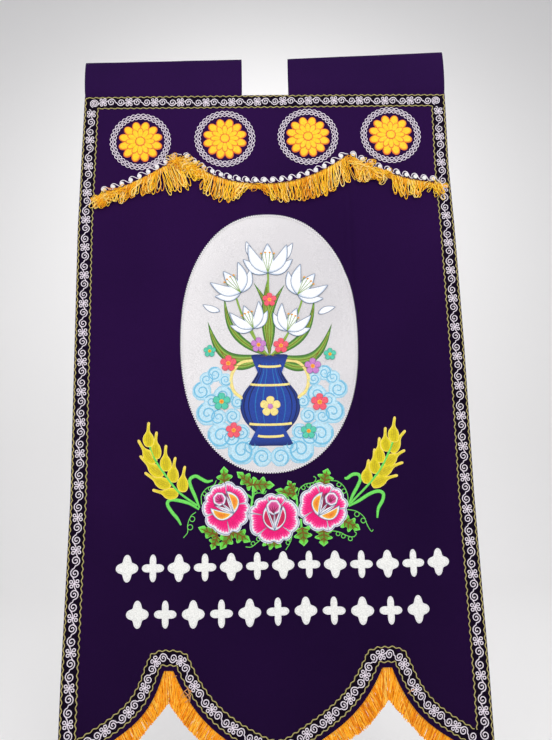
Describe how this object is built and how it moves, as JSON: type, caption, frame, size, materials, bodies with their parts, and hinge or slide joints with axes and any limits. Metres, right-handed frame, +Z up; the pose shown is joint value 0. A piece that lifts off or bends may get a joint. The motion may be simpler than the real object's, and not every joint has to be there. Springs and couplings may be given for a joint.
{
  "type": "church banner",
  "caption": "Hanging church banner: scalloped purple cloth with two pole sleeves, a white oval panel, embroidered flowers and wheat, and gold fringe.",
  "frame": {"origin": "midway between the two pole sleeves, level with their top folds, where the banner is held up", "axes": "+Z up, -Y out of the embroidered front, +X to the right as the front is looked at"},
  "size_m": [0.807, 0.0257, 1.4902],
  "materials": {
    "purple_cloth": "matt woven polyester",
    "white_satin": "soft satin",
    "gold_yarn": "glossy twisted rayon yarn",
    "white_thread": "satin-stitched thread",
    "yellow_thread": "satin-stitched thread",
    "coloured_thread": "satin-stitched thread"
  },
  "bodies": {
    "root": {"banner_cloth": "purple_cloth", "sleeve_left": "purple_cloth", "sleeve_right": "purple_cloth", "oval_panel": "white_satin", "valance_fringe_left": "gold_yarn", "valance_fringe_centre": "gold_yarn", "valance_fringe_right": "gold_yarn", "hem_fringe_left": "gold_yarn", "hem_fringe_centre": "gold_yarn", "hem_fringe_right": "gold_yarn", "medallion_ring_1": "white_thread", "medallion_ring_2": "white_thread", "medallion_ring_3": "white_thread", "medallion_ring_4": "white_thread", "medallion_rosette_1": "yellow_thread", "medallion_rosette_2": "yellow_thread", "medallion_rosette_3": "yellow_thread", "medallion_rosette_4": "yellow_thread", "rose_left": "coloured_thread", "rose_centre": "coloured_thread", "rose_right": "coloured_thread", "wheat_left": "coloured_thread", "wheat_right": "coloured_thread", "applique_upper_01": "white_thread", "applique_upper_02": "white_thread", "applique_upper_03": "white_thread", "applique_upper_04": "white_thread", "applique_upper_05": "white_thread", "applique_upper_06": "white_thread", "applique_upper_07": "white_thread", "applique_upper_08": "white_thread", "applique_upper_09": "white_thread", "applique_upper_10": "white_thread", "applique_upper_11": "white_thread", "applique_upper_12": "white_thread", "applique_upper_13": "white_thread", "applique_lower_01": "white_thread", "applique_lower_02": "white_thread", "applique_lower_03": "white_thread", "applique_lower_04": "white_thread", "applique_lower_05": "white_thread", "applique_lower_06": "white_thread", "applique_lower_07": "white_thread", "applique_lower_08": "white_thread", "applique_lower_09": "white_thread", "applique_lower_10": "white_thread", "applique_lower_11": "white_thread"}
  },
  "joints": []
}
